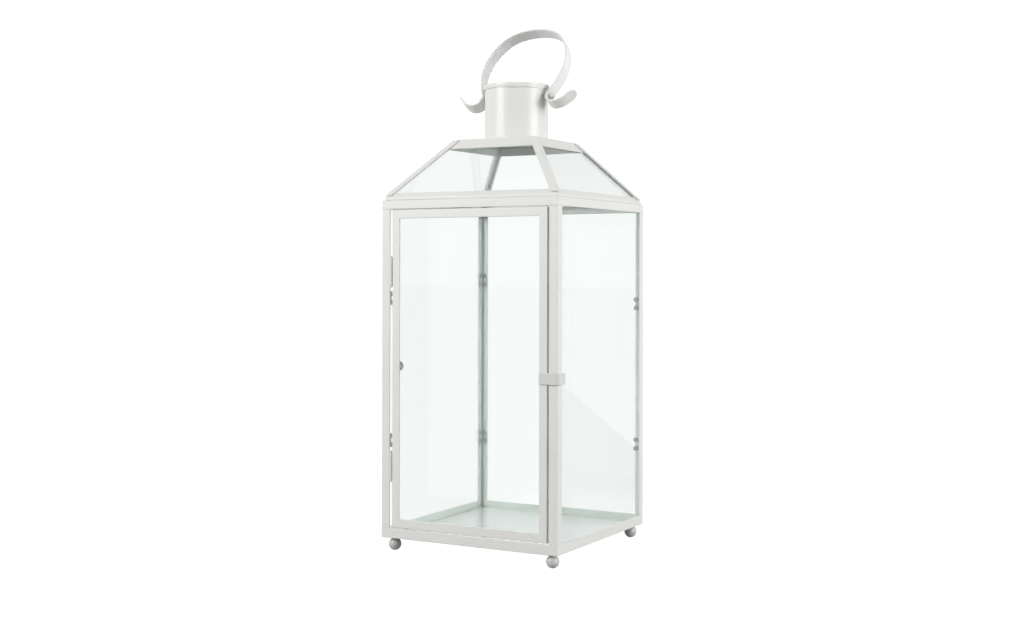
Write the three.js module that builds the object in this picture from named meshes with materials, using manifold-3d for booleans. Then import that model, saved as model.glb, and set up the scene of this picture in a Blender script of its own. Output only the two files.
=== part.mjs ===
// Hurricane candle lantern: a square, glazed box of folded steel angle on four ball feet, with a
// hinged glass door, a glazed hip roof, a round capped chimney and a bent strap handle.
// Millimetres, +Z up. The origin is on the ground under the middle of the box. The door is on -Y.
import * as THREE from 'three';
import { mergeVertices } from 'three/addons/utils/BufferGeometryUtils.js';
import Module from 'manifold-3d';

// ---------------------------------------------------------------- driving dimensions
const SIDE = 210;              // outside of the square box
const BOX_HEIGHT = 358;        // underside of the base frame to the top of the box
const FOOT_HEIGHT = 14.2;       // ground to the underside of the base frame
const SHEET = 1.2;             // folded steel sheet
const GLASS = 2;               // every pane
const GAP = 0.3;               // room left between neighbouring pieces
const ANGLE = 10;              // leg of the steel angle of the box
const ROOF_RISE = 64;          // eaves to crown
const ROOF_EAVE_HALF = 103;    // half the roof's width at the eaves
const ROOF_CROWN_HALF = 47.8;  // half the crown's width
const CHIMNEY_RADIUS = 34.6;
const CHIMNEY_HEIGHT = 60.8;
const HANDLE_TILT = THREE.MathUtils.degToRad(32);   // how far back the handle leans at rest

// ---------------------------------------------------------------- levels and faces worked out
const HALF = SIDE / 2;
const BOX_TOP = FOOT_HEIGHT + BOX_HEIGHT;
const BASE_LEG = ANGLE + 0.5;                   // upright leg of the base rails
const TOP_LEG = ANGLE - 0.7;                    // upright leg of the top rails
const PANE_OUTER = HALF - SHEET - GAP;          // outer face of the fixed panes
const PANE_INNER = PANE_OUTER - GLASS;
const FLANGE_TOP = FOOT_HEIGHT + SHEET;         // upper face of the base rails' flange
const FRAME_MIDDLE = FOOT_HEIGHT + BOX_HEIGHT / 2;
const RIM_BOTTOM = BOX_TOP + GAP;               // the roof's short upright rim
const EAVE = BOX_TOP + 2.9;                     // where the slope starts
const CROWN = EAVE + ROOF_RISE;
const ROOF_SLOPE = Math.atan2(ROOF_RISE, ROOF_EAVE_HALF - ROOF_CROWN_HALF);
const QUARTER = Math.PI / 2;
const SIDES = ['front', 'right', 'back', 'left'];
const CORNERS = ['front_right', 'back_right', 'back_left', 'front_left'];

// ---------------------------------------------------------------- materials
const paint = new THREE.MeshStandardMaterial({ color: '#dcdcd7', roughness: 0.38, metalness: 0.1 });
const glass = new THREE.MeshStandardMaterial({
  color: '#e4eeea', roughness: 0.04, metalness: 0, transparent: true, opacity: 0.3,
});
const silicone = new THREE.MeshStandardMaterial({ color: '#c4cac7', roughness: 0.25, metalness: 0 });

// ---------------------------------------------------------------- joining and cutting
const wasm = await Module();
wasm.setup();

function solid(geometry) {
  const bare = geometry.index ? geometry.toNonIndexed() : geometry.clone();
  bare.deleteAttribute('normal');
  bare.deleteAttribute('uv');
  const welded = mergeVertices(bare, 1e-4);
  return new wasm.Manifold(new wasm.Mesh({
    numProp: 3,
    vertProperties: new Float32Array(welded.attributes.position.array),
    triVerts: new Uint32Array(welded.index.array),
  }));
}

function geometryOf(body) {
  const mesh = body.getMesh();
  const geometry = new THREE.BufferGeometry();
  geometry.setAttribute('position', new THREE.BufferAttribute(mesh.vertProperties, mesh.numProp));
  geometry.setIndex(new THREE.BufferAttribute(mesh.triVerts, 1));
  geometry.computeVertexNormals();
  return geometry;
}

function block(low, high) {
  const size = high.map((value, axis) => value - low[axis]);
  const box = new THREE.BoxGeometry(...size);
  return box.translate(...low.map((value, axis) => value + size[axis] / 2));
}

function prism(outline, height) {
  return new THREE.ExtrudeGeometry(outline, { depth: height, bevelEnabled: false });
}

function polygon(points) {
  return new THREE.Shape(points.map(([x, y]) => new THREE.Vector2(x, y)));
}

// a round piece from its profile of [radius, height] points, standing along Z
function turned(profile, segments) {
  const points = profile.map(([radius, height]) => new THREE.Vector2(radius, height));
  return new THREE.LatheGeometry(points, segments).rotateX(QUARTER);
}

// the same with four sides: each profile point gives half the width and the height
function square(profile) {
  const corner = profile.map(([half, height]) => [half * Math.SQRT2, height]);
  return turned(corner, 4).rotateZ(QUARTER / 2);
}

function named(name, geometry, material) {
  const mesh = new THREE.Mesh(geometry, material);
  mesh.name = name;
  return mesh;
}

// a group turned to one of the four sides or corners, counted from the front
function quarterTurn(step) {
  const group = new THREE.Group();
  group.rotation.z = step * QUARTER;
  return group;
}

// the quarter of the plan that faces the front, kept clear of the two mitre lines
function frontQuarter() {
  const reach = SIDE;
  const clear = GAP / Math.SQRT2;
  const plan = polygon([[0, -clear], [-reach, -reach - clear], [reach, -reach - clear]]);
  return solid(prism(plan, 2 * CROWN));
}

// ---------------------------------------------------------------- folded angle, mitred at both ends
// Runs along X. The flat leg lies in XY from y = 0 inwards, the upright leg stands up at y = 0.
function mitredAngle(length, flat, upright) {
  const section = polygon([
    [0, 0], [flat, 0], [flat, SHEET], [SHEET, SHEET], [SHEET, upright], [0, upright],
  ]);
  const bar = prism(section, length).rotateX(QUARTER).rotateZ(QUARTER).translate(-length / 2, 0, 0);
  const end = length / 2 - GAP / Math.SQRT2;
  const plan = polygon([[-end, 0], [end, 0], [end - flat, flat], [-end + flat, flat]]);
  return geometryOf(solid(bar).intersect(solid(prism(plan, upright))));
}

// ---------------------------------------------------------------- box frame
function baseRail(step) {
  const rail = named(`base_rail_${SIDES[step]}`, mitredAngle(SIDE, ANGLE, BASE_LEG), paint);
  rail.position.set(0, -HALF, FOOT_HEIGHT);
  return rail;
}

function topRail(step) {
  const rail = named(`top_rail_${SIDES[step]}`, mitredAngle(SIDE, ANGLE, TOP_LEG), paint);
  rail.rotation.y = Math.PI;
  rail.position.set(0, -HALF, BOX_TOP);
  return rail;
}

function cornerPost(step) {
  const section = polygon([
    [0, 0], [-ANGLE, 0], [-ANGLE, SHEET], [-SHEET, SHEET], [-SHEET, ANGLE], [0, ANGLE],
  ]);
  const bottom = FOOT_HEIGHT + BASE_LEG + GAP;
  const post = named(`post_${CORNERS[step]}`, prism(section, BOX_TOP - TOP_LEG - GAP - bottom), paint);
  post.position.set(HALF, -HALF, bottom);
  return post;
}

function ballFoot(step) {
  const radius = 6.7;
  const footprint = 1.8;       // radius of the small flat that the ball stands on
  const neck = 2.4;
  const inset = 10.4;
  const centre = Math.sqrt(radius ** 2 - footprint ** 2);
  const from = Math.atan2(-centre, footprint);
  const to = Math.acos(neck / radius);
  const rings = 10;
  const profile = [[0, 0]];
  for (let ring = 0; ring <= rings; ring++) {
    const angle = from + (to - from) * ring / rings;
    profile.push([radius * Math.cos(angle), centre + radius * Math.sin(angle)]);
  }
  profile.push([neck, FOOT_HEIGHT - GAP], [0, FOOT_HEIGHT - GAP]);
  const foot = named(`ball_foot_${CORNERS[step]}`, turned(profile, 20), paint);
  foot.position.set(HALF - inset, -HALF + inset, 0);
  return foot;
}

function floorPlate() {
  const half = PANE_INNER - GAP;
  const front = -HALF + SHEET + GAP;
  const bottom = FLANGE_TOP + GAP;
  return named('floor_plate', block([-half, front, bottom], [half, half, bottom + 1]), paint);
}

// ---------------------------------------------------------------- fixed panes
function fixedPane(name, from, to, turn) {
  const bottom = FLANGE_TOP + GAP;
  const top = BOX_TOP - SHEET - GAP;
  const pane = named(name, block([from, -PANE_OUTER, bottom], [to, -PANE_INNER, top]), glass);
  const side = quarterTurn(turn);
  side.add(pane);
  return side;
}

// Each corner has a pair of silicone dots at two heights, smeared into one bead.
const BEAD_HEIGHTS = {
  front_right: [265, 113], back_right: [261, 104], back_left: [287, 101], front_left: [268.4, 117],
};

function beadProfile(radius, spacing) {
  const thin = 0.35;
  const rings = 16;
  const half = spacing / 2 + radius * 0.9;
  const profile = [[0, -half]];
  for (let ring = 1; ring < rings; ring++) {
    const height = -half + 2 * half * ring / rings;
    const off = Math.abs(Math.abs(height) - spacing / 2) / radius;
    profile.push([radius * Math.max(thin, Math.sqrt(Math.max(0, 1 - off * off))), height]);
  }
  profile.push([0, half]);
  return profile;
}

function paneBeads(step) {
  const radius = 3;
  const corner = CORNERS[step];
  const centre = PANE_INNER - GAP - radius;
  return BEAD_HEIGHTS[corner].map((height, index) => {
    const level = index === 0 ? 'upper' : 'lower';
    const bead = named(`pane_bead_${corner}_${level}`, turned(beadProfile(radius, 9.6), 10), silicone);
    bead.position.set(centre, -centre, height);
    return bead;
  });
}

// ---------------------------------------------------------------- door
const DOOR_FACE = 9.2;         // width of the door frame's front leg
const DOOR_RETURN = 6;         // depth of its edge
const DOOR_LEFT = -91.9;
const DOOR_RIGHT = 93.2;
const DOOR_BOTTOM = FOOT_HEIGHT + BASE_LEG + 1.2;
const DOOR_TOP = BOX_TOP - TOP_LEG - 0.9;

function doorMember(name, length, turn, x, z) {
  const bar = mitredAngle(length, DOOR_FACE, DOOR_RETURN).rotateX(-QUARTER);
  const member = named(name, bar, paint);
  member.rotation.y = turn * QUARTER;
  member.position.set(x, -HALF, z);
  return member;
}

function doorFrame() {
  const width = DOOR_RIGHT - DOOR_LEFT;
  const height = DOOR_TOP - DOOR_BOTTOM;
  const middleX = (DOOR_LEFT + DOOR_RIGHT) / 2;
  const middleZ = (DOOR_BOTTOM + DOOR_TOP) / 2;
  return [
    doorMember('door_rail_top', width, 0, middleX, DOOR_TOP),
    doorMember('door_rail_bottom', width, 2, middleX, DOOR_BOTTOM),
    doorMember('door_stile_hinge', height, -1, DOOR_LEFT, middleZ),
    doorMember('door_stile_latch', height, 1, DOOR_RIGHT, middleZ),
  ];
}

const DOOR_GLASS_FRONT = -HALF + SHEET + GAP;

function doorGlass() {
  const edge = SHEET + GAP;
  const low = [DOOR_LEFT + edge, DOOR_GLASS_FRONT, DOOR_BOTTOM + edge];
  const high = [DOOR_RIGHT - edge, DOOR_GLASS_FRONT + GLASS, DOOR_TOP - edge];
  return named('door_glass', block(low, high), glass);
}

// a flattened silicone dot behind the door glass, half hidden by the stile
function doorBead(name, x, radius) {
  const thickness = 2.4;
  const rings = 6;
  const profile = [[0, 0]];
  for (let ring = 0; ring < rings; ring++) {
    const angle = QUARTER * ring / rings;
    profile.push([radius * Math.cos(angle), thickness * Math.sin(angle)]);
  }
  profile.push([0, thickness]);
  const bead = named(name, turned(profile, 16).rotateX(-QUARTER), silicone);
  bead.position.set(x, DOOR_GLASS_FRONT + GLASS + GAP, FOOT_HEIGHT + 182.7);
  return bead;
}

// The catch is one bent strip on the latch stile. It springs round the corner post.
function latchStrip() {
  const height = 11.5;
  const stand = -HALF - GAP;               // inner face on the stile
  const clear = -HALF - 1.1;               // inner face past the post
  const bend = 3;                          // inner radius of the bend
  const start = DOOR_RIGHT - DOOR_FACE + GAP;
  const end = -HALF + 12.5;
  const x = -clear - bend;
  const y = clear + bend;
  const outline = new THREE.Shape();
  outline.moveTo(start, stand);
  outline.lineTo(DOOR_RIGHT - 1.5, stand);
  outline.lineTo(DOOR_RIGHT + 1.5, clear);
  outline.lineTo(x, clear);
  outline.absarc(x, y, bend, -QUARTER, 0, false);
  outline.lineTo(-clear, end);
  outline.lineTo(-clear + SHEET, end);
  outline.lineTo(-clear + SHEET, y);
  outline.absarc(x, y, bend + SHEET, 0, -QUARTER, true);
  outline.lineTo(DOOR_RIGHT + 1.2, clear - SHEET);
  outline.lineTo(DOOR_RIGHT - 1.8, stand - SHEET);
  outline.lineTo(start, stand - SHEET);
  const strip = named('latch_strip', prism(outline, height), paint);
  strip.position.z = FRAME_MIDDLE - 3 - height / 2;
  return strip;
}

// ---------------------------------------------------------------- butt hinges
const HINGE_X = -93.5;
const HINGE_REACH = 103;       // each hinge above or below the middle of the frame
const HINGE_HEIGHT = 31;
const KNUCKLE_RADIUS = 1.25;
const PIN_RADIUS = 0.6;
const LEAF = 0.8;              // thickness of the leaves
const LEAF_START = KNUCKLE_RADIUS + GAP;

function knuckle(from, to) {
  const bore = PIN_RADIUS + 0.15;
  const profile = [[bore, from], [KNUCKLE_RADIUS, from], [KNUCKLE_RADIUS, to], [bore, to], [bore, from]];
  return solid(turned(profile, 16));
}

// the leaf's tongue that the knuckle is rolled from, bored for the pin
function tongue(x, from, to) {
  const depth = LEAF_START + LEAF / 2;
  return solid(block([x, PIN_RADIUS + 0.2, from], [x + LEAF, depth, to]));
}

function postLeaf(name) {
  const third = HINGE_HEIGHT / 3;
  const x = -0.4 - LEAF;
  const strut = block([x, LEAF_START, 0], [x + LEAF, LEAF_START + LEAF, HINGE_HEIGHT]);
  const plate = block([-8, LEAF_START, 0], [x + LEAF / 2, LEAF_START + LEAF, HINGE_HEIGHT]);
  let leaf = solid(strut).add(solid(plate));
  for (const from of [0, 2 * third + GAP / 2]) {
    const to = from + third - GAP / 2;
    leaf = leaf.add(knuckle(from, to)).add(tongue(x, from, to));
  }
  return named(name, geometryOf(leaf), paint);
}

function doorLeaf(name) {
  const third = HINGE_HEIGHT / 3;
  const x = 0.4;
  const from = third + GAP / 2;
  const to = 2 * third - GAP / 2;
  const plate = block([x, LEAF_START, 0], [x + LEAF, DOOR_RETURN - GAP, HINGE_HEIGHT]);
  const leaf = solid(plate).add(knuckle(from, to)).add(tongue(x, from, to));
  return named(name, geometryOf(leaf), paint);
}

function hingePin(name) {
  const head = 1;
  const room = 0.1;
  const profile = [
    [0, -head - room], [head, -head - room], [head, -room], [PIN_RADIUS, -room],
    [PIN_RADIUS, HINGE_HEIGHT + room], [head, HINGE_HEIGHT + room],
    [head, HINGE_HEIGHT + room + head], [0, HINGE_HEIGHT + room + head],
  ];
  return named(name, turned(profile, 12), paint);
}

function hinge(level, offset) {
  const group = new THREE.Group();
  group.position.set(HINGE_X, -HALF, FRAME_MIDDLE + offset - HINGE_HEIGHT / 2);
  group.add(postLeaf(`hinge_post_leaf_${level}`));
  group.add(doorLeaf(`hinge_door_leaf_${level}`));
  group.add(hingePin(`hinge_pin_${level}`));
  return group;
}

// ---------------------------------------------------------------- hip roof
// The whole roof as one solid, its faces set in by a distance measured square to each face.
function roofBody(inset) {
  const rim = ROOF_EAVE_HALF - inset;
  const turn = EAVE - inset * (1 / Math.sin(ROOF_SLOPE) - 1) * Math.tan(ROOF_SLOPE);
  const top = CROWN - inset;
  const crown = rim - (top - turn) / Math.tan(ROOF_SLOPE);
  const bottom = RIM_BOTTOM - inset;
  return solid(square([[0, bottom], [rim, bottom], [rim, turn], [crown, top], [0, top]]));
}

function layer(from, to) {
  return solid(block([-HALF, -HALF, from], [HALF, HALF, to]));
}

const ROOF_SHELL = roofBody(0).subtract(roofBody(SHEET)).intersect(layer(RIM_BOTTOM, CROWN));
const EAVE_TOP = EAVE + 6.5 * Math.sin(ROOF_SLOPE);
const CROWN_BOTTOM = CROWN - 13.3 * Math.sin(ROOF_SLOPE);

function roofEave(step) {
  const strip = ROOF_SHELL.intersect(layer(RIM_BOTTOM, EAVE_TOP)).intersect(frontQuarter());
  return named(`roof_eave_${SIDES[step]}`, geometryOf(strip), paint);
}

// A folded angle over the line where two roof panes meet. It stands proud of the roof and laps
// over the eaves and the crown, and a rib under it fills the space down to the panes.
function roofHip(step) {
  const halfWidth = 5.6;
  const over = roofBody(-GAP - SHEET);
  const cover = over.subtract(roofBody(-GAP)).intersect(layer(EAVE + 2.3, CROWN - 1));
  const rib = over.subtract(roofBody(SHEET)).intersect(layer(EAVE_TOP + GAP, CROWN_BOTTOM - GAP));
  const diagonal = block([0, -halfWidth, 0], [SIDE, halfWidth, CROWN]).rotateZ(-QUARTER / 2);
  const hip = cover.add(rib).intersect(solid(diagonal));
  return named(`roof_hip_${CORNERS[step]}`, geometryOf(hip), paint);
}

function roofPane(step) {
  const bottom = EAVE + GAP;
  const outer = SHEET + GAP;
  const inner = outer + GLASS;
  const top = CROWN - inner - GAP;
  const pane = roofBody(outer).subtract(roofBody(inner));
  const front = pane.intersect(layer(bottom, top)).intersect(frontQuarter());
  return named(`roof_pane_${SIDES[step]}`, geometryOf(front), glass);
}

// the pressed crown, with the opening under the chimney
function roofCrown() {
  const radius = 31;
  const above = CROWN + SHEET;
  const opening = turned([[0, CROWN_BOTTOM], [radius, CROWN_BOTTOM], [radius, above], [0, above]], 40);
  const crown = ROOF_SHELL.intersect(layer(CROWN_BOTTOM, CROWN)).subtract(solid(opening));
  return named('roof_crown', geometryOf(crown), paint);
}

// ---------------------------------------------------------------- chimney
const CHIMNEY_WALL = 1;
const CHIMNEY_TOP = CROWN + CHIMNEY_HEIGHT;
const PIVOT_Z = CHIMNEY_TOP - 13.7;
const RIVET_SHANK = 2.2;

// a round bar along X through both sides of the chimney and the strap, ending short of the hooks
function crossBar(radius) {
  const reach = STRAP_AT_PIVOT + 6;
  return turned([[0, -reach], [radius, -reach], [radius, reach], [0, reach]], 16).rotateY(QUARTER);
}

function chimneyTube() {
  const bottom = CROWN + GAP;
  const top = CHIMNEY_TOP - CHIMNEY_WALL - GAP;
  const inner = CHIMNEY_RADIUS - CHIMNEY_WALL;
  const profile = [
    [inner, bottom], [CHIMNEY_RADIUS, bottom], [CHIMNEY_RADIUS, top], [inner, top], [inner, bottom],
  ];
  const holes = crossBar(RIVET_SHANK + GAP).translate(0, 0, PIVOT_Z);
  return named('chimney_tube', geometryOf(solid(turned(profile, 48)).subtract(solid(holes))), paint);
}

// the lid has a beaded skirt, and a ring of vent holes in its top
function chimneyCap() {
  const skirt = 5.2;
  const inner = CHIMNEY_RADIUS + GAP;
  const outer = inner + 0.6;
  const bead = 0.25;
  const bottom = CHIMNEY_TOP - skirt;
  const beadAt = CHIMNEY_TOP - 2.6;
  const profile = [
    [inner, bottom], [outer, bottom], [outer, beadAt - 1], [outer + bead, beadAt], [outer, beadAt + 1],
    [outer, CHIMNEY_TOP - 0.6], [outer - 0.6, CHIMNEY_TOP], [0, CHIMNEY_TOP],
    [0, CHIMNEY_TOP - CHIMNEY_WALL], [inner, CHIMNEY_TOP - CHIMNEY_WALL], [inner, bottom],
  ];
  let cap = solid(turned(profile, 48));
  const vents = 8;
  const ventRing = 22;
  const ventRadius = 3;
  const above = CHIMNEY_TOP + CHIMNEY_WALL;
  for (let vent = 0; vent < vents; vent++) {
    const angle = 2 * Math.PI * vent / vents;
    const hole = turned([[0, bottom], [ventRadius, bottom], [ventRadius, above], [0, above]], 12);
    hole.translate(ventRing * Math.cos(angle), ventRing * Math.sin(angle), 0);
    cap = cap.subtract(solid(hole));
  }
  return named('chimney_cap', geometryOf(cap), paint);
}

// ---------------------------------------------------------------- handle
// Half of the strap's centre line, as distance from the middle and height over the pivots:
// down the loop, in to the pivot, then out and up to the hook's tip.
const STRAP_HALF = [
  [0, 92], [29.7, 84.3], [46.5, 61], [50.4, 36], [45.2, 13], [40, -1], [41.8, -7.6], [48.3, -11.2],
  [58, -8.8], [71.5, 4],
];
const STRAP_WIDTH = 14;
const STRAP_THICKNESS = 2;
const STRAP_AT_PIVOT = 40;

function strapOutline() {
  const left = STRAP_HALF.slice(1).reverse().map(([x, y]) => new THREE.Vector3(-x, y, 0));
  const right = STRAP_HALF.map(([x, y]) => new THREE.Vector3(x, y, 0));
  const middle = new THREE.CatmullRomCurve3([...left, ...right]);
  const steps = 96;
  const outer = [];
  const inner = [];
  for (let step = 0; step <= steps; step++) {
    const point = middle.getPointAt(step / steps);
    const along = middle.getTangentAt(step / steps);
    const across = new THREE.Vector3(-along.y, along.x, 0).multiplyScalar(STRAP_THICKNESS / 2);
    outer.push([point.x + across.x, point.y + across.y]);
    inner.push([point.x - across.x, point.y - across.y]);
  }
  return polygon([...outer, ...inner.reverse()]);
}

// seen from above, the strap's two ends are rounded
function roundedEnds() {
  const tip = STRAP_HALF.at(-1)[0] + STRAP_THICKNESS / 2;
  const end = 5;
  const plan = new THREE.Shape();
  plan.moveTo(-tip + end, -STRAP_WIDTH / 2);
  plan.lineTo(tip - end, -STRAP_WIDTH / 2);
  plan.absellipse(tip - end, 0, end, STRAP_WIDTH / 2, -QUARTER, QUARTER, false, 0);
  plan.lineTo(-tip + end, STRAP_WIDTH / 2);
  plan.absellipse(-tip + end, 0, end, STRAP_WIDTH / 2, QUARTER, 3 * QUARTER, false, 0);
  return prism(plan, 2 * SIDE).translate(0, 0, -SIDE);
}

function handleStrap() {
  const band = prism(strapOutline(), STRAP_WIDTH).translate(0, 0, -STRAP_WIDTH / 2).rotateX(QUARTER);
  const holes = crossBar(RIVET_SHANK + GAP);
  const strap = solid(band).intersect(solid(roundedEnds())).subtract(solid(holes));
  const handle = named('handle_strap', geometryOf(strap), paint);
  handle.position.z = PIVOT_Z;
  handle.rotation.x = -HANDLE_TILT;
  return handle;
}

// a shouldered rivet: head inside the chimney, collar between chimney and strap, dome outside
function handleRivet(name, turn) {
  const inside = CHIMNEY_RADIUS - CHIMNEY_WALL - 0.6;
  const collar = 3.4;
  const dome = 3.5;
  const strapFace = STRAP_THICKNESS / 2 + 0.4;
  const domeBase = STRAP_AT_PIVOT + STRAP_THICKNESS + 0.6;      // clear of the strap's bend
  const profile = [
    [0, inside - 2], [collar, inside - 2], [collar, inside], [RIVET_SHANK, inside],
    [RIVET_SHANK, CHIMNEY_RADIUS + 0.4], [collar, CHIMNEY_RADIUS + 0.4],
    [collar, STRAP_AT_PIVOT - strapFace], [RIVET_SHANK, STRAP_AT_PIVOT - strapFace],
    [RIVET_SHANK, domeBase], [dome, domeBase], [dome * 0.92, domeBase + 1.8],
    [dome * 0.6, domeBase + 3.4], [0, domeBase + 4.2],
  ];
  const rivet = named(name, turned(profile, 16).rotateY(QUARTER), paint);
  rivet.rotation.z = turn;
  rivet.position.z = PIVOT_Z;
  return rivet;
}

// ---------------------------------------------------------------- assembly
const lantern = new THREE.Group();
lantern.add(floorPlate());
for (let step = 0; step < 4; step++) {
  const quarter = quarterTurn(step);
  quarter.add(baseRail(step), topRail(step), cornerPost(step), ballFoot(step));
  quarter.add(...paneBeads(step));
  quarter.add(roofEave(step), roofHip(step), roofPane(step));
  lantern.add(quarter);
}
// the side panes run from the front posts to the back pane, which fills the whole width
lantern.add(fixedPane('pane_right', -PANE_OUTER, PANE_INNER - GAP, 1));
lantern.add(fixedPane('pane_back', -PANE_OUTER, PANE_OUTER, 2));
lantern.add(fixedPane('pane_left', -PANE_INNER + GAP, PANE_OUTER, 3));
lantern.add(...doorFrame(), doorGlass());
lantern.add(doorBead('door_bead_hinge', DOOR_LEFT + DOOR_FACE - 1.8, 4.7));
lantern.add(doorBead('door_bead_latch', DOOR_RIGHT - DOOR_FACE + 3.6, 4));
lantern.add(latchStrip());
lantern.add(hinge('upper', HINGE_REACH), hinge('lower', -HINGE_REACH));
lantern.add(roofCrown(), chimneyTube(), chimneyCap());
lantern.add(handleStrap(), handleRivet('handle_rivet_right', 0), handleRivet('handle_rivet_left', Math.PI));

export default lantern;
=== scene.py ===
from math import atan2, cos, pi, radians, sin, tan

import bmesh
import bpy
from mathutils import Matrix, Vector


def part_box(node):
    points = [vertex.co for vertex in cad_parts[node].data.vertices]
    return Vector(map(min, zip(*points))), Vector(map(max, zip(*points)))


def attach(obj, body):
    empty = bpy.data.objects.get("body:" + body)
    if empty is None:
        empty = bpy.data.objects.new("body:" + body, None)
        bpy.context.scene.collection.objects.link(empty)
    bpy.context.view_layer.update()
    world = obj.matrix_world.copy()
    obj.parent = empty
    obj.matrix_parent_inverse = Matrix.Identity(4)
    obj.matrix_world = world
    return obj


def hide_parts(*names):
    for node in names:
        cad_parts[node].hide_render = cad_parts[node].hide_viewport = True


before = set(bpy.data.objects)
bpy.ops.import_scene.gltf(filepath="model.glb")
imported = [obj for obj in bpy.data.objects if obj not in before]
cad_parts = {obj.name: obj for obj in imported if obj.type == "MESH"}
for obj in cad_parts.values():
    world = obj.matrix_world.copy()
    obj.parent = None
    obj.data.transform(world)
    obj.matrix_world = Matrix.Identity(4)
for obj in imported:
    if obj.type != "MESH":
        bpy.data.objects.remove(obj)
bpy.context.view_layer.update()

# ---------------------------------------------------------------- camera and studio
# A level camera a metre and a half away looks at the corner that the door closes against. The
# lantern stands on white paper that sweeps up into a bright backdrop. The other walls are a light
# grey under a darker ceiling, and three large soft lights hang in front, at the right and above.
CAMERA_PLACE = (0.7438, -1.3513, 0.2986)
CAMERA_TURN = (radians(90), radians(-0.126), radians(29.0))
LENS = 49.6
LENS_RISE = -0.0415
PAPER_SIZE = 40
PAPER_WHITE = (0.35, 0.35, 0.35, 1)
PAPER_GLOW_SHARE = 0.97
BACKDROP_WHITE = (1, 1, 1, 1)
BACKDROP_LIGHT = 1.1
BACKDROP_SIDE = (-0.485, 0.875, 0)
BACKDROP_FOOT = (-0.1, -0.016, 0)
BACKDROP_EDGE = (0.478, 0.483)
BACKDROP_MIRRORED = 0.5
ROOM_GREY = (0.985, 0.99, 1, 1)
ROOM_LIGHT = 0.5
CEILING_LIGHT = 0.25
CEILING_EDGE = (0.35, 0.65)
MIDDLE = Vector((0, 0, 0.25))
SOFT_LIGHTS = {
    # name: (place, width, height, watts)
    "soft_light_right": ((2.2, 0.2, 0.9), 1.2, 1.6, 41),
    "soft_light_front": ((-1.2, -2.0, 1.25), 1.2, 1.2, 46),
    "soft_light_overhead": ((-0.2, 0.1, 2.3), 1.6, 1.6, 3),
}


class Wire:
    """An output in a material's nodes. Adding or multiplying wires adds Math nodes."""

    def __init__(self, tree, socket=None):
        self.tree = tree
        self.socket = socket

    def node(self, kind, settings=None, sockets=None, output=0):
        """Adds a node of any kind, its settings first and then its sockets, and gives an output."""
        added = self.tree.nodes.new("ShaderNode" + kind)
        for setting, value in (settings or {}).items():
            setattr(added, setting, value)
        for name, value in (sockets or {}).items():
            if isinstance(value, Wire):
                self.tree.links.new(value.socket, added.inputs[name])
            else:
                added.inputs[name].default_value = value
        return Wire(self.tree, added.outputs[output] if added.outputs else None)

    def math(self, operation, first, second):
        return self.node("Math", {"operation": operation}, {0: first, 1: second})

    def __add__(self, other):
        return self.math("ADD", self, other)

    def __sub__(self, other):
        return self.math("SUBTRACT", self, other)

    def __rsub__(self, other):
        return self.math("SUBTRACT", other, self)

    def __mul__(self, other):
        return self.math("MULTIPLY", self, other)

    __radd__ = __add__
    __rmul__ = __mul__


def new_finish(name):
    """An empty material and the wire that its nodes are added from."""
    finish = bpy.data.materials.new(name)
    finish.use_nodes = True
    finish.node_tree.nodes.clear()
    return finish, Wire(finish.node_tree)


def place_camera():
    camera = bpy.data.objects.new("camera", bpy.data.cameras.new("camera"))
    bpy.context.scene.collection.objects.link(camera)
    camera.location = CAMERA_PLACE
    camera.rotation_euler = CAMERA_TURN
    camera.data.lens = LENS
    camera.data.shift_y = LENS_RISE
    camera.data.clip_start = 0.05
    camera.data.clip_end = 100
    bpy.context.scene.camera = camera


def place_light(name, place, width, height, watts):
    lamp = bpy.data.lights.new(name, "AREA")
    lamp.shape = "RECTANGLE"
    lamp.size = width
    lamp.size_y = height
    lamp.energy = watts
    light = bpy.data.objects.new(name, lamp)
    bpy.context.scene.collection.objects.link(light)
    light.location = place
    light.rotation_euler = (MIDDLE - Vector(place)).to_track_quat("-Z", "Y").to_euler()


def unbent(wire, kind):
    """1 until the ray has been reflected in that way."""
    return wire.math("LESS_THAN", wire.node("LightPath", output=kind), 0.5)


def seen_directly(wire):
    """1 for what is looked at straight or through glass, and 0 for reflections and for light."""
    straight = wire.node("LightPath", output="Is Camera Ray")
    through_glass = wire.node("LightPath", output="Is Transmission Ray")
    return wire.math("MAXIMUM", straight, through_glass) * unbent(wire, "Glossy Depth")


def towards_backdrop(wire, direction):
    """1 over the third of a turn that the white backdrop fills, and 0 round the rest of the room."""
    facing = wire.node("VectorMath", {"operation": "DOT_PRODUCT"},
                       {0: direction, 1: BACKDROP_SIDE}, output="Value")
    return wire.node("MapRange", {"interpolation_type": "SMOOTHSTEP"},
                     {"Value": facing, "From Min": BACKDROP_EDGE[0], "From Max": BACKDROP_EDGE[1]})


def room_glow(wire, kind, direction):
    """The light of the backdrop and of the walls, by direction, from nodes of one kind."""
    backdrop = wire.node(kind, None, {"Color": BACKDROP_WHITE, "Strength": BACKDROP_LIGHT})
    walls = wire.node(kind, None, {"Color": ROOM_GREY, "Strength": ROOM_LIGHT})
    behind = towards_backdrop(wire, direction) * BACKDROP_MIRRORED
    share = wire.math("MAXIMUM", seen_directly(wire), behind)
    return wire.node("MixShader", None, {0: share, 1: walls, 2: backdrop})


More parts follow.
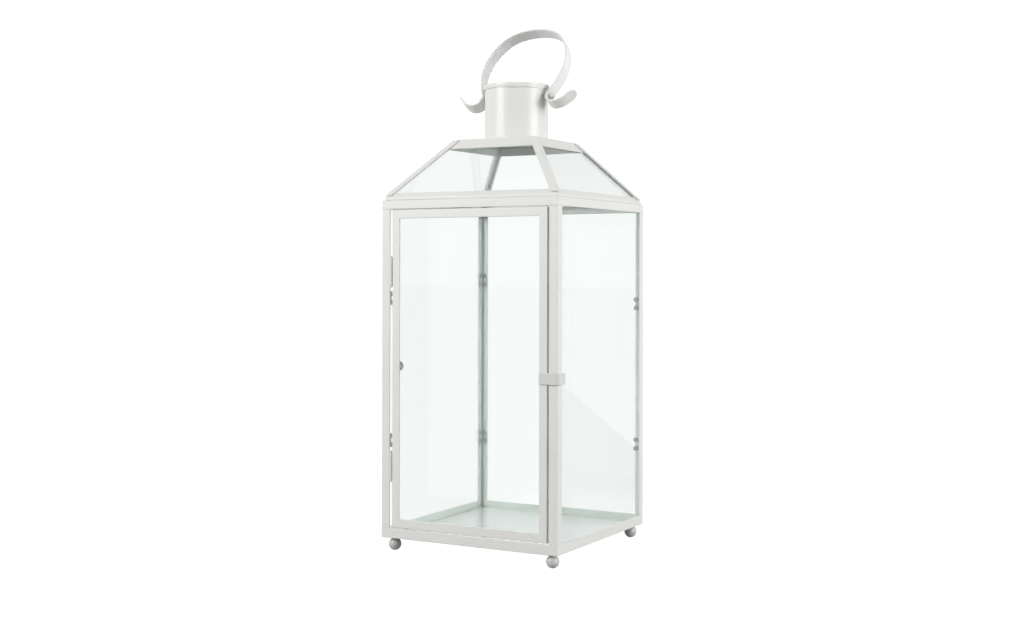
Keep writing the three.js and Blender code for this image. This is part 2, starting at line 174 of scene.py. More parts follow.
def paper_white():
    """White paper that sweeps up into the walls, so brightly lit that it looks even."""
    finish, wire = new_finish("paper_white")
    place = wire.node("TexCoord", output="Object")
    away = wire.node("VectorMath", {"operation": "SUBTRACT"}, {0: place, 1: BACKDROP_FOOT})
    direction = wire.node("VectorMath", {"operation": "NORMALIZE"}, {0: away})
    glow = room_glow(wire, "Emission", direction)
    paper = wire.node("BsdfPrincipled", None, {"Base Color": PAPER_WHITE, "Roughness": 0.9})
    share = unbent(wire, "Diffuse Depth") * PAPER_GLOW_SHARE
    surface = wire.node("MixShader", None, {0: share, 1: paper, 2: glow})
    wire.node("OutputMaterial", None, {"Surface": surface})
    return finish


def lay_paper():
    sheet = bmesh.new()
    bmesh.ops.create_grid(sheet, x_segments=2, y_segments=2, size=PAPER_SIZE / 2)
    mesh = bpy.data.meshes.new("paper")
    sheet.to_mesh(mesh)
    sheet.free()
    mesh.materials.append(paper_white())
    paper = bpy.data.objects.new("paper", mesh)
    bpy.context.scene.collection.objects.link(paper)


def light_room():
    world = bpy.data.worlds.new("studio_room")
    world.use_nodes = True
    world.node_tree.nodes.clear()
    wire = Wire(world.node_tree)
    direction = wire.node("TexCoord", output="Generated")
    height = wire.node("SeparateXYZ", None, {0: direction}, output="Z")
    overhead = wire.node("MapRange", {"interpolation_type": "SMOOTHSTEP"},
                         {"Value": height, "From Min": CEILING_EDGE[0], "From Max": CEILING_EDGE[1]})
    ceiling = wire.node("Background", None, {"Color": ROOM_GREY, "Strength": CEILING_LIGHT})
    glow = room_glow(wire, "Background", direction)
    share = overhead * (1 - seen_directly(wire))
    surface = wire.node("MixShader", None, {0: share, 1: glow, 2: ceiling})
    wire.node("OutputWorld", None, {"Surface": surface})
    bpy.context.scene.world = world
    bpy.context.scene.view_settings.view_transform = "Standard"


place_camera()
lay_paper()
light_room()
for light_name, light_facts in SOFT_LIGHTS.items():
    place_light(light_name, *light_facts)

# ---------------------------------------------------------------- box frame
# Twelve lengths of folded steel angle make the open box: four mitred rails at the base, four
# at the top and a post at each corner. They are welded, ground and powder-coated together.
MM = 0.001
SHEET = 1.2 * MM
MITRE_GAP = 0.02 * MM
FOLD_RADIUS = 0.55 * MM
WELDED_END = 16 * MM
SHARP = radians(32)
SIDES = ["front", "right", "back", "left"]
CORNERS = ["front_right", "back_right", "back_left", "front_left"]
COAT_LIGHT = (0.745, 0.743, 0.715, 1)
COAT_SHADE = (0.70, 0.70, 0.672, 1)
COAT_THIN = (0.60, 0.60, 0.575, 1)


def noise(wire, place, size, detail=2):
    """Cloudy noise between 0 and 1, its lumps about that size in metres."""
    settings = {"noise_dimensions": "3D"}
    return wire.node("TexNoise", settings, {"Vector": place, "Scale": 1 / size, "Detail": detail})


def blend(wire, share, colour, other):
    """Mixes two colours. The Mix node gives its colour from its third output."""
    mixed = {"Factor": share, "A": colour, "B": other}
    return wire.node("Mix", {"data_type": "RGBA"}, mixed, output=2)


def powder_coat(name, roughness, gloss_coat, light=COAT_LIGHT, shade=COAT_SHADE, uneven=0.12):
    """Off-white powder coat: even colour, a fine orange peel, and a thinner coat on every arris."""
    finish, wire = new_finish(name)
    place = wire.node("TexCoord", output="Object")
    cloud = noise(wire, place, 0.055)
    arris = wire.node("Attribute", {"attribute_name": "arris"}, output="Fac")
    patchy = noise(wire, place, 0.004, 3)
    cloudy = blend(wire, cloud, light, shade)
    colour = blend(wire, arris * patchy * 0.9, cloudy, COAT_THIN)
    peel = noise(wire, place, 0.0011, 1)
    ripple = noise(wire, place, 0.006, 1)
    height = peel * 0.2 + ripple * 0.8
    bump = wire.node("Bump", None, {"Strength": uneven, "Distance": 0.0001, "Height": height})
    surface = wire.node("BsdfPrincipled", None, {
        "Base Color": colour,
        "Roughness": patchy * 0.06 + roughness,
        "Normal": bump,
        "Coat Weight": gloss_coat,
        "Coat Roughness": 0.12,
        "IOR": 1.5,
    })
    wire.node("OutputMaterial", None, {"Surface": surface})
    return finish


coat = powder_coat("powder_coat", roughness=0.33, gloss_coat=0.15)


def ease(shape, radius, segments=2, shortest=0):
    """Rounds the sharp edges, and marks the rounding so that the coat can thin there. Shorter
    edges than the shortest are left, such as those where a bar is welded on and ground flush."""
    arris = shape.faces.layers.float.get("arris") or shape.faces.layers.float.new("arris")
    sharp = [
        edge for edge in shape.edges
        if edge.is_manifold and edge.calc_face_angle() > SHARP and edge.calc_length() > shortest
    ]
    rounded = bmesh.ops.bevel(
        shape, geom=sharp, offset=radius, segments=segments, profile=0.5, affect="EDGES",
        material=-1, clamp_overlap=True,
    )
    for face in rounded["faces"]:
        face[arris] = 1


def fit(name, shape, finish, slot, body, *nodes):
    """Makes the piece of a finished shape. It rides on a body and stands for CAD nodes."""
    mesh = bpy.data.meshes.new(name)
    shape.to_mesh(mesh)
    shape.free()
    mesh.shade_smooth()
    mesh.set_sharp_from_angle(angle=SHARP)
    for material in finish:
        mesh.materials.append(material)
    piece = bpy.data.objects.new(name, mesh)
    bpy.context.scene.collection.objects.link(piece)
    even = piece.modifiers.new("even_shading", "WEIGHTED_NORMAL")
    even.keep_sharp = True
    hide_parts(*nodes)
    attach(piece, body)
    return piece


def draw_out(shape, face):
    """Extrudes one face into a closed bar and returns the vertices of its far end."""
    drawn = bmesh.ops.extrude_face_region(shape, geom=[face])
    return [part for part in drawn["geom"] if isinstance(part, bmesh.types.BMVert)]


def mitred_bar(section, side, half):
    """The front bar of a frame that is 2 * half long, its ends mitred. The section's points are
    (distance in from the frame's outside, height)."""
    bar = bmesh.new()
    end = bar.faces.new([bar.verts.new((0, -side + inset, level)) for inset, level in section])
    far = draw_out(bar, end)
    for vertex in bar.verts:
        reach = half - (vertex.co.y + side) - MITRE_GAP
        vertex.co.x = reach if vertex in far else -reach
    bmesh.ops.recalc_face_normals(bar, faces=bar.faces)
    return bar


def angle_section(flat, corner, upright):
    """Folded angle: a flat leg inwards at the corner's height, and an upright leg from it."""
    sheet = SHEET if upright > 0 else -SHEET
    return [
        (0, corner), (flat, corner), (flat, corner + sheet), (SHEET, corner + sheet),
        (SHEET, corner + upright), (0, corner + upright),
    ]


def quarter_turn(shape, step):
    """Turns a shape made at the front to one of the four sides or corners."""
    turn = Matrix.Rotation(step * pi / 2, 3, "Z")
    bmesh.ops.rotate(shape, verts=shape.verts, cent=(0, 0, 0), matrix=turn)


base_low, base_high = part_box("base_rail_front")
top_low, top_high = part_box("top_rail_front")
HALF = -base_low.y
LEG = base_high.y - base_low.y
for step in range(4):
    rail = mitred_bar(angle_section(LEG, base_low.z, base_high.z - base_low.z), HALF, HALF)
    ease(rail, FOLD_RADIUS, 3, WELDED_END)
    quarter_turn(rail, step)
    fit(f"coated_base_rail_{SIDES[step]}", rail, [coat], "painted_steel", "lantern",
        f"base_rail_{SIDES[step]}")

    rail = mitred_bar(angle_section(LEG, top_high.z, top_low.z - top_high.z), HALF, HALF)
    ease(rail, FOLD_RADIUS, 3, WELDED_END)
    quarter_turn(rail, step)
    fit(f"coated_top_rail_{SIDES[step]}", rail, [coat], "painted_steel", "lantern",
        f"top_rail_{SIDES[step]}")


def corner_post(bottom, top):
    """An upright angle at the front right corner."""
    post = bmesh.new()
    plan = [
        (HALF, -HALF), (HALF - LEG, -HALF), (HALF - LEG, -HALF + SHEET),
        (HALF - SHEET, -HALF + SHEET), (HALF - SHEET, -HALF + LEG), (HALF, -HALF + LEG),
    ]
    foot = post.faces.new([post.verts.new((x, y, bottom)) for x, y in plan])
    bmesh.ops.translate(post, verts=draw_out(post, foot), vec=(0, 0, top - bottom))
    bmesh.ops.recalc_face_normals(post, faces=post.faces)
    return post


for step in range(4):
    post = corner_post(base_high.z + MITRE_GAP, top_low.z - MITRE_GAP)
    ease(post, FOLD_RADIUS, 3, WELDED_END)
    quarter_turn(post, step)
    fit(f"coated_post_{CORNERS[step]}", post, [coat], "painted_steel", "lantern",
        f"post_{CORNERS[step]}")

# ---------------------------------------------------------------- ball feet
# Four solid steel balls, each with a small worn flat to stand on and a short neck that is
# welded under a corner of the base, with a fillet of weld round it.
BALL_RADIUS = 6.7 * MM
NECK_RADIUS = 2.4 * MM
FILLET = 1.3 * MM
FLAT_RADIUS = 1.8 * MM


def turned(profile, steps):
    """Spins a profile of (radius, height) points into a closed round piece about Z."""
    shape = bmesh.new()
    points = [shape.verts.new((radius, 0, height)) for radius, height in profile]
    lines = [shape.edges.new(pair) for pair in zip(points, points[1:])]
    bmesh.ops.spin(
        shape, geom=points + lines, axis=(0, 0, 1), cent=(0, 0, 0), angle=2 * pi, steps=steps,
        use_merge=True,
    )
    bmesh.ops.remove_doubles(shape, verts=shape.verts, dist=1e-6)
    bmesh.ops.recalc_face_normals(shape, faces=shape.faces)
    return shape


def ball_foot(centre, base, top):
    """The ball's profile from its flat up to the neck, then the fillet and the neck."""
    lowest = atan2(base - centre, FLAT_RADIUS)
    highest = atan2(BALL_RADIUS * 0.9, NECK_RADIUS)
    rings = 18
    angles = [lowest + (highest - lowest) * ring / rings for ring in range(rings + 1)]
    profile = [(0, base)]
    profile += [(BALL_RADIUS * cos(a), centre + BALL_RADIUS * sin(a)) for a in angles]
    profile += [(NECK_RADIUS, top - FILLET), (NECK_RADIUS + FILLET * 0.4, top - FILLET * 0.35)]
    profile += [(NECK_RADIUS + FILLET, top), (0, top)]
    return turned(profile, 40)


# A darker copy of the frame's coat: painted shade on the feet, for the shade under the base.
shaded_foot_coat = powder_coat(
    "shaded_foot_coat", roughness=0.3, gloss_coat=0.15, light=(0.55, 0.55, 0.535, 1),
    shade=(0.50, 0.50, 0.49, 1),
)
for corner in CORNERS:
    low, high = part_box(f"ball_foot_{corner}")
    foot = ball_foot(low.z + (BALL_RADIUS ** 2 - FLAT_RADIUS ** 2) ** 0.5, low.z, base_low.z)
    middle = (low + high) / 2
    bmesh.ops.translate(foot, verts=foot.verts, vec=(middle.x, middle.y, 0))
    fit(f"coated_ball_foot_{corner}", foot, [shaded_foot_coat], "painted_steel", "lantern",
        f"ball_foot_{corner}")

# ---------------------------------------------------------------- floor plate
# A flat steel sheet lies on the flanges of the base rails. It is coated like the frame, a
# little glossier where candles are wiped off it. Its coat is darker than the frame's: painted
# shade, for the dimmer light inside the glass.
shaded_plate_coat = powder_coat(
    "shaded_plate_coat", roughness=0.2, gloss_coat=0.6, light=(0.64, 0.645, 0.635, 1),
    shade=(0.58, 0.585, 0.575, 1),
)


def slab(low, high):
    """A flat sheet or pane between two corners."""
    shape = bmesh.new()
    bmesh.ops.create_cube(shape, size=1)
    bmesh.ops.scale(shape, verts=shape.verts, vec=high - low)
    bmesh.ops.translate(shape, verts=shape.verts, vec=(low + high) / 2)
    return shape


plate = slab(*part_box("floor_plate"))
ease(plate, 0.25 * MM)
fit("coated_floor_plate", plate, [shaded_plate_coat], "painted_steel", "lantern", "floor_plate")

# ---------------------------------------------------------------- fixed panes
# Three panes of clear 2 mm float glass stand inside the right, back and left of the box, with
# their arrises ground. The cut edges show the green of the glass.
ARRIS = 0.3 * MM
GLASS_TINT = (0.972, 0.99, 0.985, 1)
GLASS_SMEAR = (0.962, 0.982, 0.976, 1)
GLASS_PASSES = (0.78, 0.815, 0.80, 1)
EDGE_GREEN = (0.50, 0.66, 0.60, 1)


def clear_glass():
    """Float glass, which lets the lights through, with the faintest unevenness of tint and face."""
    finish, wire = new_finish("clear_glass")
    place = wire.node("TexCoord", output="Object")
    cloud = noise(wire, place, 0.09, 1)
    wave = wire.node("Bump", None, {"Strength": 0.02, "Distance": 0.001, "Height": cloud})
    pane = wire.node("BsdfPrincipled", None, {
        "Base Color": blend(wire, cloud, GLASS_TINT, GLASS_SMEAR),
        "Roughness": 0,
        "IOR": 1.5,
        "Transmission Weight": 1,
        "Normal": wave,
    })
    open_air = wire.node("BsdfTransparent", None, {"Color": GLASS_PASSES})
    shadow_ray = wire.node("LightPath", output="Is Shadow Ray")
    surface = wire.node("MixShader", None, {0: shadow_ray, 1: pane, 2: open_air})
    wire.node("OutputMaterial", None, {"Surface": surface})
    return finish


def ground_edge():
    """The green edge of the glass, matt where it was ground."""
    finish, wire = new_finish("ground_glass_edge")
    place = wire.node("TexCoord", output="Object")
    scratch = noise(wire, place, 0.0007, 3)
    bump = wire.node("Bump", None, {"Strength": 0.2, "Distance": 0.0001, "Height": scratch})
    surface = wire.node("BsdfPrincipled", None, {
        "Base Color": blend(wire, scratch, EDGE_GREEN, GLASS_TINT),
        "Roughness": scratch * 0.2 + 0.25,
        "IOR": 1.5,
        "Transmission Weight": 0.4,
        "Normal": bump,
    })
    wire.node("OutputMaterial", None, {"Surface": surface})
    return finish


glass = [clear_glass(), ground_edge()]


def grind(pane, across):
    """Eases a pane's arrises and gives its narrow faces the edge finish."""
    ease(pane, ARRIS, 1)
    pane.normal_update()
    for face in pane.faces:
        face.material_index = 0 if abs(face.normal.dot(across)) > 0.99 else 1


for node, across in (("pane_right", (1, 0, 0)), ("pane_back", (0, 1, 0)), ("pane_left", (1, 0, 0))):
    pane = slab(*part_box(node))
    grind(pane, Vector(across))
    fit(f"glazed_{node}", pane, glass, "glass", "lantern", node)

# ---------------------------------------------------------------- silicone dots
# Each pane is held in its corner by pairs of clear silicone dots, squeezed from a nozzle so
# that the two dots of a pair just run together.


def clear_silicone():
    """Cured clear silicone: milky, soft-edged gloss."""
    finish, wire = new_finish("clear_silicone")
    place = wire.node("TexCoord", output="Object")
    cloud = noise(wire, place, 0.0025, 2)
    bump = wire.node("Bump", None, {"Strength": 0.25, "Distance": 0.0004, "Height": cloud})
    surface = wire.node("BsdfPrincipled", None, {
        "Base Color": blend(wire, cloud, (0.60, 0.64, 0.63, 1), (0.36, 0.39, 0.385, 1)),
        "Roughness": cloud * 0.1 + 0.12,
        "IOR": 1.41,
        "Transmission Weight": 0.75,
        "Normal": bump,
    })
    wire.node("OutputMaterial", None, {"Surface": surface})
    return finish


silicone = clear_silicone()


def pair_of_dots(low, high):
    """Two round dots one above the other, drawn together by a thin waist."""
    radius = (high.x - low.x) / 2
    half = (high.z - low.z) / 2
    spacing = half - radius * 0.9
    rings = 24
    profile = [(0, -half)]
    for ring in range(1, rings):
        height = -half + 2 * half * ring / rings
        off = (abs(height) - spacing) / radius
        profile.append((radius * max(0.22, max(0, 1 - off * off) ** 0.5), height))
    profile.append((0, half))
    dots = turned(profile, 24)
    bmesh.ops.translate(dots, verts=dots.verts, vec=(low + high) / 2)
    return dots


for corner in CORNERS:
    for level in ("upper", "lower"):
        node = f"pane_bead_{corner}_{level}"
        dots = pair_of_dots(*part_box(node))
        fit(f"silicone_{corner}_{level}", dots, [silicone], "silicone", "lantern", node)

# ---------------------------------------------------------------- door
# A frame of four mitred angles, its face legs flush with the box, holds a glass pane from
# behind. The strip on the latch stile is bent round the corner post and springs over it.


def door_bar(step, centre, half_width, half_height, face, depth):
    """One member: 0 is the bottom rail, 1 the latch stile, 2 the top rail, 3 the hinge stile."""
    section = [(0, 0), (face, 0), (face, -SHEET), (SHEET, -SHEET), (SHEET, -depth), (0, -depth)]
    upright = step % 2 == 1
    side, half = (half_width, half_height) if upright else (half_height, half_width)
    bar = mitred_bar(section, side, half)
    ease(bar, FOLD_RADIUS, 3, WELDED_END)
    quarter_turn(bar, step)
    stand = Matrix.Rotation(pi / 2, 3, "X")
    bmesh.ops.rotate(bar, verts=bar.verts, cent=(0, 0, 0), matrix=stand)
    bmesh.ops.translate(bar, verts=bar.verts, vec=centre)
    return bar


rail_low, rail_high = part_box("door_rail_top")
stile_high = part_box("door_stile_latch")[1]
sill_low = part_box("door_rail_bottom")[0]
door_centre = Vector(((stile_high.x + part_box("door_stile_hinge")[0].x) / 2, -HALF,
                      (sill_low.z + rail_high.z) / 2))
door_half_width = stile_high.x - door_centre.x
door_half_height = rail_high.z - door_centre.z
members = ["door_rail_bottom", "door_stile_latch", "door_rail_top", "door_stile_hinge"]
for step, node in enumerate(members):
    bar = door_bar(
        step, door_centre, door_half_width, door_half_height, rail_high.z - rail_low.z,
        rail_high.y - rail_low.y,
    )
    fit(f"coated_{node}", bar, [coat], "painted_steel", "door", node)

pane = slab(*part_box("door_glass"))
grind(pane, Vector((0, 1, 0)))
fit("glazed_door", pane, glass, "glass", "door", "door_glass")


def half_dot(low, high):
    """A dot pressed flat against the back of the glass."""
    radius = (high.x - low.x) / 2
    thick = high.y - low.y
    rings = 10
    angles = [pi / 2 * ring / rings for ring in range(rings + 1)]
    profile = [(0, 0)] + [(radius * cos(a), thick * sin(a)) for a in angles[:-1]] + [(0, thick)]
    dot = turned(profile, 32)
    bmesh.ops.rotate(dot, verts=dot.verts, cent=(0, 0, 0), matrix=Matrix.Rotation(-pi / 2, 3, "X"))
    middle = (low + high) / 2
    bmesh.ops.translate(dot, verts=dot.verts, vec=(middle.x, low.y, middle.z))
    return dot


for edge in ("hinge", "latch"):
    node = f"door_bead_{edge}"
    fit(f"silicone_door_{edge}", half_dot(*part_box(node)), [silicone], "silicone", "door", node)


def softened(node, radius, segments=2):
    """The CAD piece's own shape, welded, with its sharp edges rounded."""
    shape = bmesh.new()
    shape.from_mesh(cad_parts[node].data)
    bmesh.ops.remove_doubles(shape, verts=shape.verts, dist=0.002 * MM)
    bmesh.ops.dissolve_limit(
        shape, angle_limit=radians(0.05), verts=shape.verts, edges=shape.edges,
    )
    ease(shape, radius, segments)
    return shape


# A darker copy of the frame's coat: painted shade on the latch strip, which is coated like the
# frame.
shaded_latch_coat = powder_coat(
    "shaded_latch_coat", roughness=0.3, gloss_coat=0.1, light=(0.66, 0.66, 0.64, 1),
    shade=(0.61, 0.61, 0.59, 1),
)
fit("coated_latch_strip", softened("latch_strip", 0.3 * MM), [shaded_latch_coat], "painted_steel", "door",
    "latch_strip")

# ---------------------------------------------------------------- hinges
# Two butt hinges, each rolled from thin sheet round a headed pin. One leaf is welded behind the
# post and the other to the edge of the hinge stile, and both are coated over.
for level in ("upper", "lower"):
    for kind, body in (("post_leaf", "lantern"), ("pin", "lantern"), ("door_leaf", "door")):
        node = f"hinge_{kind}_{level}"
        fit(f"coated_{node}", softened(node, 0.12 * MM, 1), [coat], "painted_steel", body, node)

# ---------------------------------------------------------------- roof
# A mitred rim of folded strip, four folded hips over the joints of four sloping panes, and a
# pressed crown with a round opening under the chimney.
eave_low, eave_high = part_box("roof_eave_front")
crown_low, crown_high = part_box("roof_crown")
hip_low, hip_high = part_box("roof_hip_front_right")
roof_glass_low, roof_glass_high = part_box("roof_pane_front")
EAVE_HALF = -eave_low.y
CROWN_TOP = crown_high.z
RIM = 2.6 * MM
EAVE_LEVEL = eave_low.z + RIM
CROWN_HALF = 47.8 * MM
CROWN_OPENING = 31 * MM
HIP_HALF_WIDTH = 5.6 * MM
HIP_PROUD = 1.5 * MM
HIP_THICK = 2.5 * MM
PANE = 2 * MM
PANE_GAP = 0.3 * MM
ROOF_EASE = 0.35 * MM
SLOPE = atan2(CROWN_TOP - EAVE_LEVEL, EAVE_HALF - CROWN_HALF)


def roof_inset(level, depth=0):
    """How far in from the eaves the roof's face is at a height, or a surface that deep in it."""
    return max(0, level - EAVE_LEVEL) / tan(SLOPE) + depth / sin(SLOPE)


def eave_section():
    """The upright rim and the strip of slope above it, one fold."""
    fold = EAVE_LEVEL - SHEET * (1 / sin(SLOPE) - 1) * tan(SLOPE)
    return [
        (0, eave_low.z), (0, EAVE_LEVEL), (roof_inset(eave_high.z), eave_high.z),
        (roof_inset(eave_high.z, SHEET), eave_high.z), (SHEET, fold), (SHEET, eave_low.z),
    ]


def hip(bottom, top, width, proud, thick):
    """A folded strip over the front right hip, drawn from its level foot up the slope. It stands
    proud of the roof's face."""
    shape = bmesh.new()
    out = EAVE_HALF - roof_inset(bottom, -proud)
    under = out - thick / sin(SLOPE)
    edge = out - width * 2 ** 0.5
    plan = [(edge, -out), (out, -out), (out, -edge), (under, -edge), (under, -under), (edge, -under)]
    foot = shape.faces.new([shape.verts.new((x, y, bottom)) for x, y in plan])
    inwards = roof_inset(top) - roof_inset(bottom)
    bmesh.ops.translate(shape, verts=draw_out(shape, foot), vec=(-inwards, inwards, top - bottom))
    bmesh.ops.recalc_face_normals(shape, faces=shape.faces)
    return shape


def roof_pane_section(bottom, top):
    outer = SHEET + PANE_GAP
    inner = outer + PANE
    return [
        (roof_inset(bottom, outer), bottom), (roof_inset(top, outer), top),
        (roof_inset(top, inner), top), (roof_inset(bottom, inner), bottom),
    ]


for step in range(4):
    eave = mitred_bar(eave_section(), EAVE_HALF, EAVE_HALF)
    ease(eave, ROOF_EASE)
    quarter_turn(eave, step)
    fit(f"coated_roof_eave_{SIDES[step]}", eave, [coat], "painted_steel", "lantern",
        f"roof_eave_{SIDES[step]}")

    strip = hip(hip_low.z, hip_high.z, HIP_HALF_WIDTH, HIP_PROUD, HIP_THICK)
    ease(strip, ROOF_EASE)
    quarter_turn(strip, step)
    fit(f"coated_roof_hip_{CORNERS[step]}", strip, [coat], "painted_steel", "lantern",
        f"roof_hip_{CORNERS[step]}")

    pane = mitred_bar(roof_pane_section(roof_glass_low.z, roof_glass_high.z), EAVE_HALF, EAVE_HALF)
    grind(pane, Vector((0, -sin(SLOPE), cos(SLOPE))))
    quarter_turn(pane, step)
    fit(f"glazed_roof_pane_{SIDES[step]}", pane, glass, "glass", "lantern",
        f"roof_pane_{SIDES[step]}")


def crown(bottom, top, opening):
    """The sloping band and the flat top of the crown, pressed from one sheet and pierced."""
    shape = bmesh.new()
    skirt = EAVE_HALF - roof_inset(bottom)
    square = bmesh.ops.create_circle(shape, cap_ends=False, segments=4, radius=skirt * 2 ** 0.5)
    bmesh.ops.rotate(
        shape, verts=square["verts"], cent=(0, 0, 0), matrix=Matrix.Rotation(pi / 4, 3, "Z"),
    )
    bmesh.ops.translate(shape, verts=square["verts"], vec=(0, 0, bottom))
    raised = bmesh.ops.extrude_edge_only(shape, edges=shape.edges[:])["geom"]
    top_verts = [part for part in raised if isinstance(part, bmesh.types.BMVert)]
    top_edges = [part for part in raised if isinstance(part, bmesh.types.BMEdge)]
    shrink = (EAVE_HALF - roof_inset(top)) / skirt
    bmesh.ops.scale(shape, verts=top_verts, vec=(shrink, shrink, 1))
    bmesh.ops.translate(shape, verts=top_verts, vec=(0, 0, top - bottom))
    hole = bmesh.ops.create_circle(shape, cap_ends=False, segments=64, radius=opening)["verts"]
    bmesh.ops.translate(shape, verts=hole, vec=(0, 0, top))
    rim = list({edge for vertex in hole for edge in vertex.link_edges})
    bmesh.ops.triangle_fill(shape, use_beauty=True, use_dissolve=False, edges=top_edges + rim)
    bmesh.ops.recalc_face_normals(shape, faces=shape.faces)
    bmesh.ops.solidify(shape, geom=shape.faces[:], thickness=SHEET)
    return shape


pressing = crown(crown_low.z, CROWN_TOP, CROWN_OPENING)
ease(pressing, ROOF_EASE)
fit("coated_roof_crown", pressing, [coat], "painted_steel", "lantern", "roof_crown")

# ---------------------------------------------------------------- chimney
# A tube rolled from thin sheet stands on the crown. Its lid is spun, with a beaded skirt over
# the tube and a ring of vent holes in the top.
tube_low, tube_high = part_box("chimney_tube")
cap_low, cap_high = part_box("chimney_cap")
TUBE_WALL = 1 * MM
VENTS = 8
VENT_RING = 22 * MM
VENT_RADIUS = 3 * MM
BEAD = 0.25 * MM
LID_WALL = 0.6 * MM
LID_ROUND = 0.6 * MM
# How far out from the flat top and how far down each step of the skirt is, in millimetres.
LID_STEPS = [
    (0.25, 0.15), (0.45, 0.35), (0.6, 0.6), (0.6, 1.6), (0.75, 1.9), (0.85, 2.35), (0.85, 2.85),
    (0.75, 3.3), (0.6, 3.6),
]


def tube(low, high):
    outer = high.x
    inner = outer - TUBE_WALL
    ring = [(inner, low.z), (outer, low.z), (outer, high.z), (inner, high.z), (inner, low.z)]
    return turned(ring, 128)


def lid(low, high, wall):
    """Top with its vents, then the skirt drawn down step by step, then the wall's thickness."""
    shape = bmesh.new()
    rim = high.x - BEAD - LID_ROUND
    bmesh.ops.create_circle(shape, segments=128, radius=rim)
    drawn = shape.edges[:]
    for vent in range(VENTS):
        hole = bmesh.ops.create_circle(shape, segments=24, radius=VENT_RADIUS)["verts"]
        place = Matrix.Rotation(2 * pi * vent / VENTS, 3, "Z") @ Vector((VENT_RING, 0, 0))
        bmesh.ops.translate(shape, verts=hole, vec=place)
    bmesh.ops.triangle_fill(shape, use_beauty=True, use_dissolve=False, edges=shape.edges[:])
    radius = rim
    depth = 0
    for out, down in [*LID_STEPS, (LID_ROUND / MM, (high.z - low.z) / MM)]:
        ring = bmesh.ops.extrude_edge_only(shape, edges=drawn)["geom"]
        drawn = [part for part in ring if isinstance(part, bmesh.types.BMEdge)]
        points = [part for part in ring if isinstance(part, bmesh.types.BMVert)]
        wider = (rim + out * MM) / radius
        bmesh.ops.scale(shape, verts=points, vec=(wider, wider, 1))
        bmesh.ops.translate(shape, verts=points, vec=(0, 0, depth - down * MM))
        radius *= wider
        depth = down * MM
    bmesh.ops.recalc_face_normals(shape, faces=shape.faces)
    bmesh.ops.solidify(shape, geom=shape.faces[:], thickness=wall)
    bmesh.ops.translate(shape, verts=shape.verts, vec=(0, 0, high.z))
    return shape


pipe = tube(tube_low - Vector((0, 0, 0.25 * MM)), tube_high)
ease(pipe, 0.2 * MM)
fit("coated_chimney_tube", pipe, [coat], "painted_steel", "lantern", "chimney_tube")
cap = lid(cap_low, cap_high, LID_WALL)
fit("coated_chimney_cap", cap, [coat], "painted_steel", "lantern", "chimney_cap")

# ---------------------------------------------------------------- handle
# A flat steel strap bent into a loop, with a hook at each end, swings on two shouldered rivets
# through the chimney. Its edges and ends are rounded before it is coated.
STRAP_WIDTH = 14 * MM
STRAP_THICK = 2 * MM
STRAP_END = 5 * MM
STRAP_BLUNT = 0.3
HANDLE_TILT = radians(32)
SHANK = 2.2 * MM
COLLAR = 3.4 * MM
RIVET_HEAD = 2 * MM
RIVET_PLAY = 0.4 * MM
STRAP_FACE = 38.6 * MM
DOME_HEIGHT = 4.2 * MM
# Half of its line as distance from the middle and height over the rivets, in millimetres: down
# the loop, in to the rivet, then out and up to the hook's tip.
STRAP_HALF = [(0, 92), (29.7, 84.3), (46.5, 61), (50.4, 36), (45.2, 13), (40, -1), (41.8, -7.6),
              (48.3, -11.2), (58, -8.8), (71.5, 4)]


def smooth_line(points, steps):
    """A smooth curve through points, as a finer line of points."""
    reached = [points[0] * 2 - points[1], *points, points[-1] * 2 - points[-2]]
    line = []
    for a, b, c, d in zip(reached, reached[1:], reached[2:], reached[3:]):
        t1 = (b - a).length ** 0.5
        t2 = t1 + (c - b).length ** 0.5
        t3 = t2 + (d - c).length ** 0.5
        for step in range(steps):
            t = t1 + (t2 - t1) * step / steps
            ab = a.lerp(b, t / t1)
            bc = b.lerp(c, (t - t1) / (t2 - t1))
            cd = c.lerp(d, (t - t2) / (t3 - t2))
            before = ab.lerp(bc, t / t2)
            after = bc.lerp(cd, (t - t1) / (t3 - t1))
            line.append(before.lerp(after, (t - t1) / (t2 - t1)))
    return [*line, points[-1]]


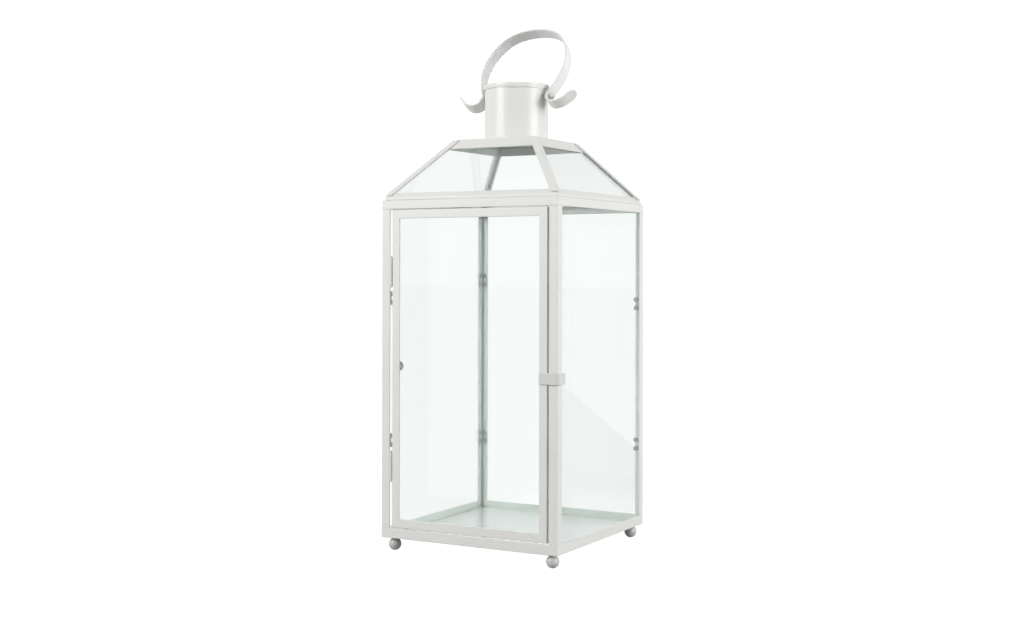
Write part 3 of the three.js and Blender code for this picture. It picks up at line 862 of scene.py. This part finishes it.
def strap():
    """The line widened into a sheet with rounded ends, then given its thickness."""
    shape = bmesh.new()
    right = [Vector((x, -STRAP_WIDTH / 2 / MM, z)) * MM for x, z in STRAP_HALF]
    left = [Vector((-point.x, point.y, point.z)) for point in right[:0:-1]]
    points = [shape.verts.new(point) for point in smooth_line(left + right, 14)]
    lines = [shape.edges.new(pair) for pair in zip(points, points[1:])]
    wide = bmesh.ops.extrude_edge_only(shape, edges=lines)["geom"]
    far = [part for part in wide if isinstance(part, bmesh.types.BMVert)]
    bmesh.ops.translate(shape, verts=far, vec=(0, STRAP_WIDTH, 0))
    tip = right[-1].x
    for vertex in shape.verts:
        past = (abs(vertex.co.x) - tip + STRAP_END) / STRAP_END
        if past > 0:
            vertex.co.y *= max(STRAP_BLUNT, 1 - past * past) ** 0.5
    bmesh.ops.recalc_face_normals(shape, faces=shape.faces)
    shape.normal_update()
    for vertex in shape.verts:
        vertex.co += vertex.normal * STRAP_THICK / 2
    bmesh.ops.solidify(shape, geom=shape.faces[:], thickness=STRAP_THICK)
    ease(shape, 0.5 * MM, 3)
    lean = Matrix.Rotation(-HANDLE_TILT, 3, "X")
    bmesh.ops.rotate(shape, verts=shape.verts, cent=(0, 0, 0), matrix=lean)
    return shape


rivet_low, rivet_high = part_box("handle_rivet_right")
pivot = (rivet_low.z + rivet_high.z) / 2
# A lighter copy of the frame's coat: painted light on the handle strap, for the light the paper
# throws up under it.
lit_strap_coat = powder_coat(
    "lit_strap_coat", roughness=0.36, gloss_coat=0.1, light=(0.80, 0.80, 0.785, 1),
    shade=(0.76, 0.76, 0.745, 1), uneven=0.015,
)
band = strap()
bmesh.ops.translate(band, verts=band.verts, vec=(0, 0, pivot))
fit("coated_handle_strap", band, [lit_strap_coat], "painted_steel", "handle", "handle_strap")


def rivet(low, high):
    """Head inside the chimney, collar against the strap, and a domed head outside."""
    wall = tube_high.x + RIVET_PLAY
    head = low.x + RIVET_HEAD
    dome = (high.z - low.z) / 2
    dome_base = high.x - DOME_HEIGHT
    profile = [
        (0, low.x), (COLLAR, low.x), (COLLAR, head), (SHANK, head), (SHANK, wall), (COLLAR, wall),
        (COLLAR, STRAP_FACE), (SHANK, STRAP_FACE), (SHANK, dome_base), (dome, dome_base),
    ]
    rings = 8
    angles = [pi / 2 * ring / rings for ring in range(1, rings)]
    profile += [(dome * cos(a), dome_base + DOME_HEIGHT * sin(a)) for a in angles]
    profile.append((0, high.x))
    shape = turned(profile, 32)
    lay = Matrix.Rotation(pi / 2, 3, "Y")
    bmesh.ops.rotate(shape, verts=shape.verts, cent=(0, 0, 0), matrix=lay)
    ease(shape, 0.2 * MM)
    return shape


for side, turn in (("right", 0), ("left", 2)):
    pin = rivet(rivet_low, rivet_high)
    quarter_turn(pin, turn)
    bmesh.ops.translate(pin, verts=pin.verts, vec=(0, 0, pivot))
    fit(f"coated_handle_rivet_{side}", pin, [coat], "painted_steel", "lantern",
        f"handle_rivet_{side}")
